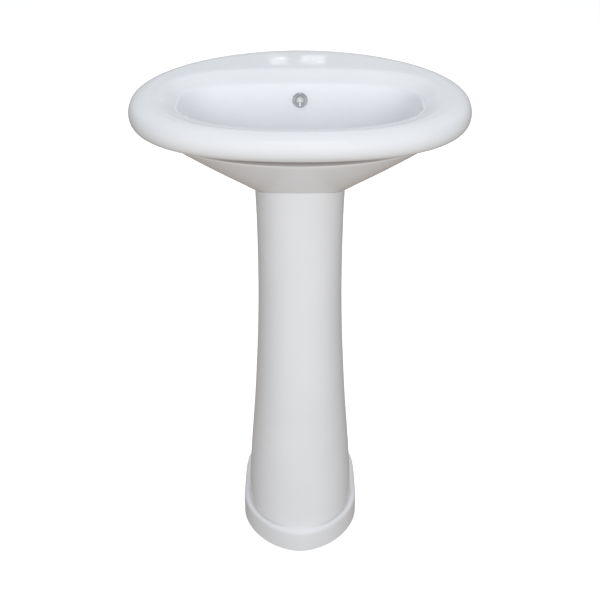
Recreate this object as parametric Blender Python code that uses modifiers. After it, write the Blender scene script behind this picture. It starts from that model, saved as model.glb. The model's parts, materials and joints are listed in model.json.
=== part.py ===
"""Pedestal sink: an oval ceramic basin on a hollow ceramic pedestal, with its overflow ring,
click-clack waste and bottle trap.

Run it with: blender --background --python part.py
Units are metres. +Z is up, the wall is at +Y, and the origin is on the floor under the
middle of the sink.
"""

import math

import bmesh
import bpy
import numpy as np
from mathutils import Matrix, Vector
from mathutils.bvhtree import BVHTree

# ---------------------------------------------------------------- driving dimensions
SINK_WIDTH = 0.560
SINK_DEPTH = 0.455
SINK_HEIGHT = 0.850
GAP = 0.0003  # between pieces that touch

WALL_Y = SINK_DEPTH / 2
FRONT_Y = -SINK_DEPTH / 2

# The basin's rim, lip and bowl.
RIM_MIDDLE_Y = -0.0185
RIM_THICKNESS = 0.045
DECK_DROP = 0.015  # from the tap deck down to the bowl's lip at the back
FRONT_DROP = 0.0045  # the same at the front
SHOULDER_Z = SINK_HEIGHT - 0.122  # where the bowl's wall turns into its floor
FLOOR_Z = SINK_HEIGHT - 0.170
SEAT_DEPTH = 0.005  # recess in the floor for the waste flange
LAND_Z = SINK_HEIGHT - 0.198  # flat ring under the basin, round the waste hole
UNDER_RIM_Z = SINK_HEIGHT - 0.050
UNDER_POWER = 1.433  # how the underside falls from the rim to the land

# The waste and the trap share one axis.
DRAIN_Y = -0.030
WASTE_HOLE_R = 0.0229
WASTE_TUBE_R = 0.0209
RECESS_R = 0.0365
LAND_R = 0.034
PIPE_R = 0.016
PIPE_BORE = 0.0145

# The overflow hole in the bowl's back wall, and the duct behind it.
OVERFLOW_Z = SINK_HEIGHT - 0.0445
OVERFLOW_HOLE_R = 0.0110
DUCT_FRONT_Y = 0.077
DUCT_BACK_Y = 0.091
DUCT_BOTTOM_Z = 0.697
DUCT_HALF_WIDTH = 0.014

# The hollow under the tap deck, and the holes in the back wall.
POCKET_FRONT_Y = 0.102
POCKET_TOP_Z = SINK_HEIGHT - 0.014
BACK_WALL = 0.013
WALL_HOLE_X = 0.040
WALL_HOLE_Z = SINK_HEIGHT - 0.067
WALL_HOLE_R = 0.006

# The pedestal.
PEDESTAL_WALL = 0.011
PLINTH_HEIGHT = 0.046
NECK_Z = 0.600  # above this the pedestal's levels rise to meet the basin
# The column's height, half-width and front, from a cove on the foot, past a waist, to a
# slight flare under the basin.
COLUMN = (
    (0.050, 0.0960, -0.1490),
    (0.062, 0.0955, -0.1465),
    (0.085, 0.0955, -0.1450),
    (0.125, 0.0940, -0.1430),
    (0.190, 0.0888, -0.1400),
    (0.260, 0.0834, -0.1365),
    (0.340, 0.0789, -0.1325),
    (0.430, 0.0744, -0.1280),
    (0.530, 0.0728, -0.1235),
    (0.640, 0.0740, -0.1195),
    (0.680, 0.0762, -0.1185),
)

# The waste, from the flange down.
SEAT_Z = FLOOR_Z - SEAT_DEPTH
FLANGE_R = 0.0325
WASTE_BORE = 0.0185
WASTE_BOTTOM_Z = 0.598
PLUG_Z = FLOOR_Z - 0.001

# The trap.
TRAP_TOP_Z = 0.530
TRAP_BOTTOM_Z = 0.455
OUTLET_Z = 0.506

BASIN_SIDES = 60
PEDESTAL_SIDES = 44
ROUND_STEPS = 24
SMALL_STEPS = 20


# ---------------------------------------------------------------- scene and materials
def clear_scene():
    for obj in list(bpy.data.objects):
        bpy.data.objects.remove(obj, do_unlink=True)


def new_collection(name):
    collection = bpy.data.collections.new(name)
    bpy.context.scene.collection.children.link(collection)
    return collection


def new_material(name, colour, roughness, metallic=0.0):
    material = bpy.data.materials.new(name)
    material.use_nodes = True
    shader = material.node_tree.nodes["Principled BSDF"]
    shader.inputs["Base Color"].default_value = (*colour, 1.0)
    shader.inputs["Roughness"].default_value = roughness
    shader.inputs["Metallic"].default_value = metallic
    return material


clear_scene()
PARTS = new_collection("pedestal_sink")
CUTTERS = new_collection("cutters")
CERAMIC = new_material("white_glaze", (0.86, 0.87, 0.88), 0.12)
CHROME = new_material("chrome", (0.80, 0.81, 0.83), 0.08, 1.0)
BRASS = new_material("brass", (0.72, 0.55, 0.27), 0.35, 1.0)
STEEL = new_material("spring_steel", (0.55, 0.56, 0.58), 0.30, 1.0)
RUBBER = new_material("black_rubber", (0.03, 0.03, 0.03), 0.70)
PLASTIC = new_material("white_plastic", (0.88, 0.88, 0.86), 0.30)


# ---------------------------------------------------------------- modelling helpers
def place(obj, material, collection=None):
    """Puts an object in the sink's collection, or in another one, and paints it."""
    for holder in list(obj.users_collection):
        holder.objects.unlink(obj)
    (collection or PARTS).objects.link(obj)
    if material:
        obj.data.materials.clear()
        obj.data.materials.append(material)
    return obj


def object_from(bm, name, material, collection=None):
    mesh = bpy.data.meshes.new(name)
    bm.to_mesh(mesh)
    bm.free()
    obj = bpy.data.objects.new(name, mesh)
    bpy.context.scene.collection.objects.link(obj)
    return place(obj, material, collection)


def smooth(obj, degrees=35):
    obj.data.shade_smooth()
    obj.data.set_sharp_from_angle(angle=math.radians(degrees))
    return obj


def as_cutter(obj):
    """Hides a helper that only cuts or joins."""
    place(obj, None, CUTTERS)
    obj.hide_render = True
    obj.display_type = "WIRE"
    return obj


def combine(obj, other, operation):
    """Cuts obj with other, or joins other to it, and leaves other as a hidden helper."""
    modifier = obj.modifiers.new(f"{operation.lower()}_{other.name}", "BOOLEAN")
    modifier.operation = operation
    modifier.solver = "EXACT"
    modifier.object = as_cutter(other)


def turned(name, profile, material, steps=ROUND_STEPS, location=(0, 0, 0), rotation=(0, 0, 0)):
    """A ring or sleeve turned about local Z from a closed profile of (radius, height) points
    that runs down its outer side first."""
    mesh = bpy.data.meshes.new(name)
    points = [(radius, 0, height) for radius, height in profile]
    edges = [(i, (i + 1) % len(points)) for i in range(len(points))]
    mesh.from_pydata(points, edges, [])
    obj = bpy.data.objects.new(name, mesh)
    bpy.context.scene.collection.objects.link(obj)
    place(obj, material)
    screw = obj.modifiers.new("turn", "SCREW")
    screw.steps = screw.render_steps = steps
    screw.use_merge_vertices = True
    screw.merge_threshold = 0.00002
    screw.use_smooth_shade = True
    obj.location = location
    obj.rotation_euler = rotation
    return obj


def turned_solid(name, profile, material, steps=ROUND_STEPS, location=(0, 0, 0), rotation=(0, 0, 0)):
    """A solid turned about local Z. Its profile runs from the axis at the top, down its
    outer side, to the axis at the bottom."""
    obj = turned(name, profile, material, steps, location, rotation)
    mesh = obj.data
    points = [(v.co.x, v.co.y, v.co.z) for v in mesh.vertices]
    edges = [(i, i + 1) for i in range(len(points) - 1)]
    mesh.clear_geometry()
    mesh.from_pydata(points, edges, [])
    return obj


def box(name, low, high, material=None, bevel=0.0):
    bm = bmesh.new()
    bmesh.ops.create_cube(bm, size=1.0)
    size = Vector(high) - Vector(low)
    bmesh.ops.scale(bm, vec=size, verts=bm.verts)
    bmesh.ops.translate(bm, vec=(Vector(high) + Vector(low)) / 2, verts=bm.verts)
    obj = object_from(bm, name, material)
    if bevel:
        rounding = obj.modifiers.new("round", "BEVEL")
        rounding.width = bevel
        rounding.segments = 3
    return obj


def rod(name, start, end, radius, material=None, sides=SMALL_STEPS):
    """A cylinder between two points. A flat, not a corner, lies on each plane of symmetry,
    so that a cut never runs through a corner."""
    start = Vector(start)
    end = Vector(end)
    along = end - start
    bm = bmesh.new()
    bmesh.ops.create_cone(
        bm, cap_ends=True, segments=sides, radius1=radius, radius2=radius, depth=along.length
    )
    turn = along.to_track_quat("Z", "Y").to_matrix().to_4x4() @ Matrix.Rotation(math.pi / sides, 4, "Z")
    bm.transform(Matrix.Translation((start + end) / 2) @ turn)
    return object_from(bm, name, material)


def hex_nut(name, across_flats, bore, low, high, material):
    bm = bmesh.new()
    corner = across_flats / math.sqrt(3)
    bmesh.ops.create_cone(
        bm, cap_ends=True, segments=6, radius1=corner, radius2=corner, depth=high - low
    )
    nut = object_from(bm, name, material)
    nut.location = (0, DRAIN_Y, (low + high) / 2)
    hole = rod(f"{name}_bore", (0, DRAIN_Y, low - 0.01), (0, DRAIN_Y, high + 0.01), bore, sides=ROUND_STEPS)
    combine(nut, hole, "DIFFERENCE")
    return nut


# ---------------------------------------------------------------- outlines and lofts
class Outline:
    """A plan outline: a front and a back superellipse half that meet on the widest line."""

    def __init__(self, half_width, front, back, middle, front_power=2.0, back_power=2.0):
        self.sizes = np.array([half_width, front, back, middle, front_power, back_power])

    def mixed(self, other, share):
        """The outline a share of the way from this one to the other."""
        return Outline(*(self.sizes * (1 - share) + other.sizes * share))

    def inset(self, distance, front_inset=None, back_inset=None):
        half_width, front, back, middle, front_power, back_power = self.sizes
        front += distance if front_inset is None else front_inset
        back -= distance if back_inset is None else back_inset
        return Outline(half_width - distance, front, back, middle, front_power, back_power)

    def row(self, sides, height, furthest_back=None):
        """Points round the outline, anticlockwise from +X. The height is a number, or a
        function of each point's place round the outline, from -1 in front to 1 behind."""
        half_width, front, back, middle, front_power, back_power = self.sizes
        angle = np.arange(sides) * 2 * math.pi / sides
        cosine = np.cos(angle)
        sine = np.sin(angle)
        power = np.where(sine < 0, front_power, back_power)
        depth = np.where(sine < 0, middle - front, back - middle)
        reach = (np.abs(cosine) ** power + np.abs(sine) ** power) ** (-1 / power)
        x = half_width * reach * cosine
        y = middle + depth * reach * sine
        if furthest_back is not None:
            y = np.minimum(y, furthest_back)
        z = height(sine) if callable(height) else np.full(sides, float(height))
        return np.stack([x, y, z], axis=1)


def circle(radius, middle_y=DRAIN_Y):
    return Outline(radius, middle_y - radius, middle_y + radius, middle_y)


def spline_rows(rows, steps):
    """Rows on the cubic B-spline that the given rows control, from the first to the last."""
    rows = [np.asarray(row) for row in rows]
    padded = [2 * rows[0] - rows[1], *rows, 2 * rows[-1] - rows[-2]]
    found = []
    for i in range(len(rows) - 1):
        a, b, c, d = padded[i : i + 4]
        for step in range(steps):
            t = step / steps
            found.append(
                ((1 - t) ** 3 * a + (3 * t**3 - 6 * t**2 + 4) * b
                 + (-3 * t**3 + 3 * t**2 + 3 * t + 1) * c + t**3 * d) / 6
            )
    found.append(rows[-1])
    return found


def ring_loft(name, rows, material):
    """A closed surface through rows of points, whose last row meets the first."""
    bm = bmesh.new()
    layers = [[bm.verts.new(Vector(point)) for point in row] for row in rows]
    for lower, upper in zip(layers, layers[1:] + layers[:1]):
        for i in range(len(lower)):
            j = (i + 1) % len(lower)
            bm.faces.new((lower[i], lower[j], upper[j], upper[i]))
    bmesh.ops.recalc_face_normals(bm, faces=bm.faces)
    return smooth(object_from(bm, name, material))


def prism(name, outline, low, high, sides=30):
    """An upright solid with an outline's plan, for cutting."""
    bm = bmesh.new()
    floor = [bm.verts.new(Vector(point)) for point in outline.row(sides, low)]
    bottom = bm.faces.new(floor)
    raised = bmesh.ops.extrude_face_region(bm, geom=[bottom])
    top = [item for item in raised["geom"] if isinstance(item, bmesh.types.BMVert)]
    bmesh.ops.translate(bm, vec=(0, 0, high - low), verts=top)
    bmesh.ops.recalc_face_normals(bm, faces=bm.faces)
    return object_from(bm, name, None)


# ---------------------------------------------------------------- basin
def lip_height(place):
    """The lip is lowest under the tap deck and nearly level with the rim in front."""
    share = (place + 1) / 2
    share = share * share * (3 - 2 * share)
    return SINK_HEIGHT - FRONT_DROP - (DECK_DROP - FRONT_DROP) * share


def lowered(drop):
    return lambda place: lip_height(place) - drop


RIM = Outline(SINK_WIDTH / 2, FRONT_Y, WALL_Y + 0.0045, RIM_MIDDLE_Y, 2.42, 1.93)
LIP = Outline(0.200, -0.176, 0.071, -0.035, 2.40, 3.20)
DECK_EDGE = Outline(0.226, -0.1955, 0.104, -0.030, 2.40, 3.00)
ROLL = RIM.inset(0.0245)  # where the flat deck turns down into the rim's roll
SHOULDER = Outline(0.118, -0.112, 0.039, -0.033, 2.10, 2.60)


def underside(share):
    """The basin's outer outline below the rim, from the land at 0 to the rim at 1. Behind,
    its upper part runs back to the wall as an apron."""
    reaches_wall = share > 0.75
    back = WALL_Y + 0.003 if reaches_wall else DRAIN_Y + 0.290 * share
    return Outline(
        0.2463 * share**1.12,
        DRAIN_Y - 0.1635 * share,
        back,
        -0.0465 * share + 0.0300 * (1 - share),
        2.0,
        2.5,
    )


def underside_z(share):
    return LAND_Z + (UNDER_RIM_Z - LAND_Z) * share**UNDER_POWER


def basin_rows(sides, steps):
    top = SINK_HEIGHT
    bowl = [
        circle(RECESS_R).row(sides, FLOOR_Z),
        circle(RECESS_R).mixed(SHOULDER, 0.45).row(sides, FLOOR_Z + 0.006),
        SHOULDER.mixed(LIP, 0.02).row(sides, SHOULDER_Z - 0.012),
    ]
    for share, drop in ((0.62, 0.082), (0.87, 0.045), (0.97, 0.016)):
        bowl.append(SHOULDER.mixed(LIP, share).row(sides, lowered(drop)))
    lip = [
        LIP.inset(0.0015).row(sides, lowered(0.0045)),
        LIP.inset(-0.0025).row(sides, lowered(-0.0005)),
        LIP.mixed(DECK_EDGE, 0.45).row(sides, lowered(-0.0028)),
    ]
    rim = [
        DECK_EDGE.inset(0.003).row(sides, top - 0.0016),
        DECK_EDGE.inset(-0.003).row(sides, top),
        DECK_EDGE.inset(-0.003).mixed(ROLL, 0.35).row(sides, top),
        DECK_EDGE.inset(-0.003).mixed(ROLL, 0.70).row(sides, top),
        ROLL.row(sides, top),
        RIM.inset(0.0045).row(sides, top - 0.0050, WALL_Y),
        RIM.inset(-0.0022).row(sides, top - RIM_THICKNESS / 2, WALL_Y),
        RIM.inset(0.0040).row(sides, top - RIM_THICKNESS + 0.0035, WALL_Y),
        RIM.inset(0.022, back_inset=0).row(sides, top - RIM_THICKNESS - 0.001, WALL_Y),
    ]
    groove = [  # an undercut that runs round under the rim
        underside(share).row(sides, UNDER_RIM_Z - drop, WALL_Y)
        for share, drop in ((0.955, 0.0012), (0.885, 0.0032), (0.881, 0.0086), (0.940, 0.0122))
    ]
    under = []
    for share in (0.90, 0.80, 0.68, 0.55, 0.43, 0.33):
        under.append(underside(share).row(sides, underside_z(share), WALL_Y))
    under.append(circle(LAND_R + 0.012).row(sides, LAND_Z + 0.004))
    under.append(circle(LAND_R).row(sides, LAND_Z))
    hole = [
        circle(WASTE_HOLE_R).row(sides, LAND_Z),
        circle(WASTE_HOLE_R).row(sides, SEAT_Z),
        circle(LAND_R).row(sides, SEAT_Z),
    ]
    return spline_rows(bowl + lip + rim + groove + under, steps) + hole


class OverflowAxis:
    """The overflow hole's axis, square to the bowl's back wall where it meets it."""

    def __init__(self, surface):
        start = Vector((0, 0, OVERFLOW_Z))
        self.wall, normal, *_ = surface.ray_cast(start, Vector((0, 1, 0)))
        self.into_wall = Vector((0, abs(normal.y), -abs(normal.z)))
        self.tilt = math.atan2(self.into_wall.y, -self.into_wall.z)

    def point(self, depth):
        return self.wall + self.into_wall * depth


def build_basin():
    basin = ring_loft("basin", basin_rows(BASIN_SIDES, 2), CERAMIC)
    surface = BVHTree.FromObject(basin, bpy.context.evaluated_depsgraph_get())

    pocket = Outline(0.128, POCKET_FRONT_Y, WALL_Y - BACK_WALL, 0.150, 7.0, 2.3)
    combine(basin, prism("pocket_cut", pocket, LAND_Z - 0.05, POCKET_TOP_Z), "DIFFERENCE")

    axis = OverflowAxis(surface)
    middle_y = (DUCT_FRONT_Y + DUCT_BACK_Y) / 2
    hole = rod("overflow_hole_cut", axis.point(-0.02), axis.point(0.018), OVERFLOW_HOLE_R)
    duct = box(
        "overflow_duct_cut",
        (-DUCT_HALF_WIDTH, DUCT_FRONT_Y, DUCT_BOTTOM_Z),
        (DUCT_HALF_WIDTH, DUCT_BACK_Y, OVERFLOW_Z + 0.012),
    )
    into_waste = (0, DRAIN_Y + 0.012, 0.6570)
    channel = rod("overflow_channel_cut", (0, middle_y, DUCT_BOTTOM_Z + 0.004), into_waste, 0.0065, sides=16)
    for cut in (hole, duct, channel):
        combine(basin, cut, "DIFFERENCE")

    for side in (-1, 1):
        x = side * WALL_HOLE_X
        start = (x, WALL_Y - BACK_WALL - 0.03, WALL_HOLE_Z)
        end = (x, WALL_Y + 0.02, WALL_HOLE_Z)
        combine(basin, rod(f"wall_hole_cut_{side + 1}", start, end, WALL_HOLE_R), "DIFFERENCE")
    return surface


# ---------------------------------------------------------------- pedestal
FOOT = Outline(0.1078, -0.1574, 0.135, -0.030, 1.82, 5.0)


def column_outline(half_width, front, inset=0.0):
    return Outline(half_width, front, 0.120, -0.030, 2.20, 5.0).inset(inset)


def rise_to_basin(row, surface, share):
    """Lifts a row of points by a share of the way up to the basin's underside."""
    lifted = row.copy()
    for point in lifted:
        hit, *_ = surface.ray_cast(Vector((point[0], point[1], 0.3)), Vector((0, 0, 1)))
        point[2] += share * (hit.z - 3 * GAP - point[2])
    return lifted


def foot_rows(sides):
    return [
        FOOT.row(sides, 0.0),
        FOOT.row(sides, PLINTH_HEIGHT - 0.028),
        FOOT.row(sides, PLINTH_HEIGHT - 0.011),
        FOOT.inset(0.0005).row(sides, PLINTH_HEIGHT - 0.0045),
        FOOT.inset(0.0060).row(sides, PLINTH_HEIGHT),
    ]


def column_rows(sides, inset=0.0):
    """The column's levels below its neck."""
    return [
        column_outline(half_width, front, inset).row(sides, height)
        for height, half_width, front in COLUMN
        if height < NECK_Z
    ]


def neck_rows(surface, sides, inset=0.0):
    """The column's last levels, which bend until the last follows the basin."""
    *_, half_way, top = [column_outline(width, front, inset) for height, width, front in COLUMN]
    return [
        rise_to_basin(half_way.row(sides, NECK_Z), surface, 0.5),
        rise_to_basin(top.row(sides, NECK_Z), surface, 1.0),
    ]


def pedestal_rows(surface, sides, steps):
    outside = foot_rows(sides) + column_rows(sides) + neck_rows(surface, sides)
    inside = [
        FOOT.inset(0.013).row(sides, 0.0),
        *column_rows(sides, PEDESTAL_WALL),
        *neck_rows(surface, sides, PEDESTAL_WALL),
    ]
    return spline_rows(outside, steps) + spline_rows(inside, steps)[::-1]


def build_pedestal(surface):
    pedestal = ring_loft("pedestal", pedestal_rows(surface, PEDESTAL_SIDES, 1), CERAMIC)
    for side in (-1, 1):
        near, far = side * 0.056, side * 0.092
        lug = box(f"floor_lug_{side + 1}", (min(near, far), 0.055, 0.0), (max(near, far), 0.110, 0.014))
        combine(pedestal, lug, "UNION")
        x = side * 0.074
        hole = rod(f"floor_hole_cut_{side + 1}", (x, 0.085, -0.01), (x, 0.085, 0.03), 0.004, sides=16)
        combine(pedestal, hole, "DIFFERENCE")
    lower = box("lower_window_cut", (-0.058, 0.080, 0.060), (0.058, 0.160, 0.300), bevel=0.012)
    upper = box("upper_window_cut", (-0.050, 0.080, 0.345), (0.050, 0.160, 0.780), bevel=0.012)
    combine(pedestal, lower, "DIFFERENCE")
    combine(pedestal, upper, "DIFFERENCE")


# ---------------------------------------------------------------- overflow ring
def build_overflow_ring(surface):
    """A chrome cup that lines the overflow hole: a bezel round a dished face with a circle of
    drain holes. Its local +Z points out of the wall."""
    outer, sleeve, bore = 0.0135, 0.0100, 0.0088
    drains, drain_r, drain_circle_r = 6, 0.0009, 0.0042
    profile = [
        (0, -0.0004), (0.0056, 0.0000), (0.0072, 0.0012), (0.0096, 0.0030), (0.0122, 0.0022),
        (outer, 0.0003), (sleeve, 0.0003), (sleeve, -0.0100), (bore, -0.0100), (bore, -0.0020),
        (0, -0.0020),
    ]
    axis = OverflowAxis(surface)
    where = {"location": axis.point(-0.0010), "rotation": (axis.tilt, 0, 0)}
    ring = turned_solid("overflow_ring", profile, CHROME, ROUND_STEPS, **where)
    for number in range(drains):
        angle = 2 * math.pi * number / drains
        x, y = drain_circle_r * math.cos(angle), drain_circle_r * math.sin(angle)
        ends = (x, y, -0.005), (x, y, 0.005)
        drain = rod(f"overflow_drain_cut_{number}", *ends, drain_r, sides=12)
        drain.location = ring.location
        drain.rotation_euler = ring.rotation_euler
        combine(ring, drain, "DIFFERENCE")


# ---------------------------------------------------------------- waste
def build_waste():
    """The waste's chrome body: a dished flange on a threaded tube, with a bridge inside
    that holds the cartridge and two windows that take the overflow's water."""
    top = SEAT_Z + 0.0023 + 3 * GAP
    body = turned("waste_body", [
        (0.0265, top + 0.0018), (FLANGE_R - 0.0015, top + 0.0026), (FLANGE_R, top + 0.0012),
        (FLANGE_R - 0.0010, top), (WASTE_TUBE_R, top), (WASTE_TUBE_R, WASTE_BOTTOM_Z),
        (WASTE_BORE, WASTE_BOTTOM_Z), (WASTE_BORE, top - 0.0020), (0.0215, top + 0.0008),
    ], CHROME, location=(0, DRAIN_Y, 0))
    bridge = turned("bridge_hub", [
        (0.0125, 0.634), (0.0125, 0.628), (0.0098, 0.628), (0.0098, 0.634),
    ], None, SMALL_STEPS, (0, DRAIN_Y, 0))
    combine(body, bridge, "UNION")
    reach = WASTE_BORE + 0.0012
    for number in range(3):
        angle = math.radians(90 + 120 * number)
        direction = Vector((math.cos(angle), math.sin(angle), 0))
        start = Vector((0, DRAIN_Y, 0.631)) + direction * 0.0110
        end = Vector((0, DRAIN_Y, 0.631)) + direction * reach
        combine(body, rod(f"bridge_arm_{number}", start, end, 0.0018, sides=8), "UNION")
    window = box("overflow_window_cut", (-0.008, DRAIN_Y - 0.03, 0.6545), (0.008, DRAIN_Y + 0.03, 0.6665))
    combine(body, window, "DIFFERENCE")

    turned("flange_seal", [
        (0.0318, SEAT_Z + GAP + 0.0020), (0.0318, SEAT_Z + GAP),
        (0.0214, SEAT_Z + GAP), (0.0214, SEAT_Z + GAP + 0.0020),
    ], RUBBER, location=(0, DRAIN_Y, 0))
    top = LAND_Z - GAP
    turned("tapered_washer", [
        (0.0300, top), (0.0300, top - 0.0040), (0.0255, top - 0.0100),
        (0.0213, top - 0.0100), (0.0213, top),
    ], RUBBER, location=(0, DRAIN_Y, 0))
    top -= 0.0100 + GAP
    turned("friction_washer", [
        (0.0290, top), (0.0290, top - 0.0015), (0.0213, top - 0.0015), (0.0213, top),
    ], PLASTIC, location=(0, DRAIN_Y, 0))
    top -= 0.0015 + GAP
    hex_nut("waste_backnut", 0.0540, 0.0213, top - 0.0090, top, BRASS)


def build_cartridge():
    """The click-clack cartridge: a sleeve in the waste's bridge, and a screwed end."""
    turned("cartridge_sleeve", [
        (0.0108, 0.6375), (0.0108, 0.6344), (0.0094, 0.6344), (0.0094, 0.6170),
        (0.0078, 0.6170), (0.0078, 0.6450), (0.0046, 0.6450), (0.0046, 0.6470), (0.0094, 0.6470),
        (0.0094, 0.6375),
    ], BRASS, SMALL_STEPS, (0, DRAIN_Y, 0))
    turned_solid("cartridge_end", [
        (0, 0.6195), (0.0074, 0.6195), (0.0074, 0.6166), (0.0094, 0.6166),
        (0.0094, 0.6140), (0, 0.6140),
    ], BRASS, SMALL_STEPS, (0, DRAIN_Y, 0))
    build_cartridge_spring(0.6203, 0.6312)


def build_cartridge_spring(low, high):
    coil_r, wire_r, turns, points_per_turn = 0.0056, 0.0005, 4, 9
    count = turns * points_per_turn + 1
    curve = bpy.data.curves.new("cartridge_spring", "CURVE")
    curve.dimensions = "3D"
    curve.bevel_depth = wire_r
    curve.bevel_resolution = 1
    curve.use_fill_caps = True
    spline = curve.splines.new("POLY")
    spline.points.add(count - 1)
    for i in range(count):
        angle = 2 * math.pi * i / points_per_turn
        height = low + wire_r + (high - low - 2 * wire_r) * i / (count - 1)
        spline.points[i].co = (coil_r * math.cos(angle), coil_r * math.sin(angle), height, 1)
    obj = bpy.data.objects.new("cartridge_spring", curve)
    bpy.context.scene.collection.objects.link(obj)
    place(obj, STEEL)
    obj.location = (0, DRAIN_Y, 0)


def build_plug():
    """The plug that a push lifts and drops. Its parts hang from one empty on its axis."""
    slide = bpy.data.objects.new("plug_slide_axis", None)
    PARTS.objects.link(slide)
    slide.location = (0, DRAIN_Y, PLUG_Z)
    cap = turned_solid("plug_cap", [
        (0, 0.0090), (0.0120, 0.0086), (0.0220, 0.0072), (0.0285, 0.0050), (0.0300, 0.0036),
        (0.0290, 0.0026), (0.0205, 0.0026), (0.0205, 0.0010), (0.0070, 0.0010),
        (0.0070, -0.0030), (0, -0.0030),
    ], CHROME)
    seal = turned("plug_seal", [
        (0.0225, 0.0022), (0.0236, 0.0015), (0.0225, 0.0008), (0.0209, 0.0008), (0.0209, 0.0022),
    ], RUBBER)
    stem_foot = 0.6318 - PLUG_Z
    stem = turned_solid("plug_stem", [
        (0, -0.0034), (0.0040, -0.0034), (0.0040, stem_foot + 0.0035), (0.0072, stem_foot + 0.0035),
        (0.0072, stem_foot), (0, stem_foot),
    ], BRASS, SMALL_STEPS)
    for piece in (cap, seal, stem):
        piece.parent = slide


# ---------------------------------------------------------------- bottle trap
def union_nut(name, low, high, bore, lip_bore, radius, material=PLASTIC, **where):
    """A cup-shaped nut: a threaded skirt above, and a lip below that holds the tube."""
    lip = low + 0.0040
    return turned(name, [
        (radius - 0.0015, high), (radius, high - 0.0020), (radius, low + 0.0030),
        (radius - 0.0025, low), (lip_bore, low), (lip_bore, lip), (bore, lip), (bore, high),
    ], material, **where)


def build_trap():
    axis = (0, DRAIN_Y, 0)
    flange_top = WASTE_BOTTOM_Z - 0.0026
    turned("inlet_washer", [
        (0.0204, WASTE_BOTTOM_Z - GAP), (0.0204, flange_top + GAP),
        (0.0150, flange_top + GAP), (0.0150, WASTE_BOTTOM_Z - GAP),
    ], RUBBER, location=axis)
    turned("inlet_tube", [
        (0.0204, flange_top), (0.0204, flange_top - 0.0022), (PIPE_R, flange_top - 0.0022),
        (PIPE_R, 0.4200), (PIPE_BORE, 0.4200), (PIPE_BORE, flange_top),
    ], PLASTIC, location=axis)
    nut_low = flange_top - 0.0022 - GAP - 0.0040
    union_nut("inlet_nut", nut_low, WASTE_BOTTOM_Z + 0.0160, 0.0213, PIPE_R + GAP, 0.0265, location=axis)

    body = turned("trap_body", [
        (0.0200, TRAP_TOP_Z + 0.0150), (0.0200, TRAP_TOP_Z), (0.0270, TRAP_TOP_Z),
        (0.0300, TRAP_TOP_Z - 0.0030), (0.0300, TRAP_BOTTOM_Z + 0.0020), (0.0284, TRAP_BOTTOM_Z),
        (0.0284, TRAP_BOTTOM_Z - 0.0150), (0.0262, TRAP_BOTTOM_Z - 0.0150),
        (0.0262, TRAP_TOP_Z - 0.0040), (PIPE_R + 0.0008, TRAP_TOP_Z - 0.0040),
        (PIPE_R + 0.0008, TRAP_TOP_Z + 0.0150),
    ], PLASTIC, location=axis)
    branch_root = DRAIN_Y + 0.0250
    branch_end = DRAIN_Y + 0.0480
    branch = rod("branch", (0, branch_root, OUTLET_Z), (0, branch_end, OUTLET_Z), 0.0200, sides=ROUND_STEPS)
    combine(body, branch, "UNION")
    way_out = rod("branch_bore_cut", (0, DRAIN_Y + 0.0180, OUTLET_Z), (0, branch_end + 0.01, OUTLET_Z),
                  PIPE_R + 0.0008, sides=ROUND_STEPS)
    combine(body, way_out, "DIFFERENCE")

    neck = TRAP_TOP_Z + 0.0150
    turned("neck_washer", [
        (0.0200, neck + 0.0050), (0.0200, neck + GAP), (PIPE_R + GAP, neck + GAP),
        (PIPE_R + GAP, neck + 0.0065), (0.0180, neck + 0.0065),
    ], RUBBER, location=axis)
    turned("neck_nut", [
        (0.0240, neck + 0.0110), (0.0262, neck + 0.0085), (0.0262, neck - 0.0110),
        (0.0250, neck - 0.0125), (0.0204, neck - 0.0125), (0.0204, neck + 0.0070),
        (PIPE_R + GAP, neck + 0.0070), (PIPE_R + GAP, neck + 0.0110),
    ], PLASTIC, location=axis)

    build_outlet(branch_end)
    build_cup()


def build_outlet(branch_end):
    """The pieces on the outlet's axis are turned about Z and then laid along +Y."""
    lay_back = (-math.pi / 2, 0, 0)
    axis = (0, 0, OUTLET_Z)
    turned("outlet_washer", [
        (0.0180, branch_end + 0.0065), (0.0200, branch_end + 0.0050), (0.0200, branch_end + GAP),
        (PIPE_R + GAP, branch_end + GAP), (PIPE_R + GAP, branch_end + 0.0065),
    ], RUBBER, location=axis, rotation=lay_back)
    turned("outlet_nut", [
        (0.0240, branch_end + 0.0110), (0.0262, branch_end + 0.0085), (0.0262, branch_end - 0.0110),
        (0.0250, branch_end - 0.0125), (0.0204, branch_end - 0.0125), (0.0204, branch_end + 0.0070),
        (PIPE_R + GAP, branch_end + 0.0070), (PIPE_R + GAP, branch_end + 0.0110),
    ], PLASTIC, location=axis, rotation=lay_back)
    turned("outlet_tube", [
        (PIPE_R, WALL_Y), (PIPE_R, branch_end - 0.0220),
        (PIPE_BORE, branch_end - 0.0220), (PIPE_BORE, WALL_Y),
    ], PLASTIC, location=axis, rotation=lay_back)
    rose_back = WALL_Y - GAP
    turned("wall_rose", [
        (0.0350, rose_back), (0.0360, rose_back - 0.0012), (0.0300, rose_back - 0.0060),
        (0.0200, rose_back - 0.0085), (0.0180, rose_back - 0.0120), (PIPE_R + GAP, rose_back - 0.0120),
        (PIPE_R + GAP, rose_back - 0.0100), (0.0190, rose_back - 0.0070), (0.0290, rose_back - 0.0045),
        (0.0335, rose_back),
    ], CHROME, location=axis, rotation=lay_back)


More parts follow.
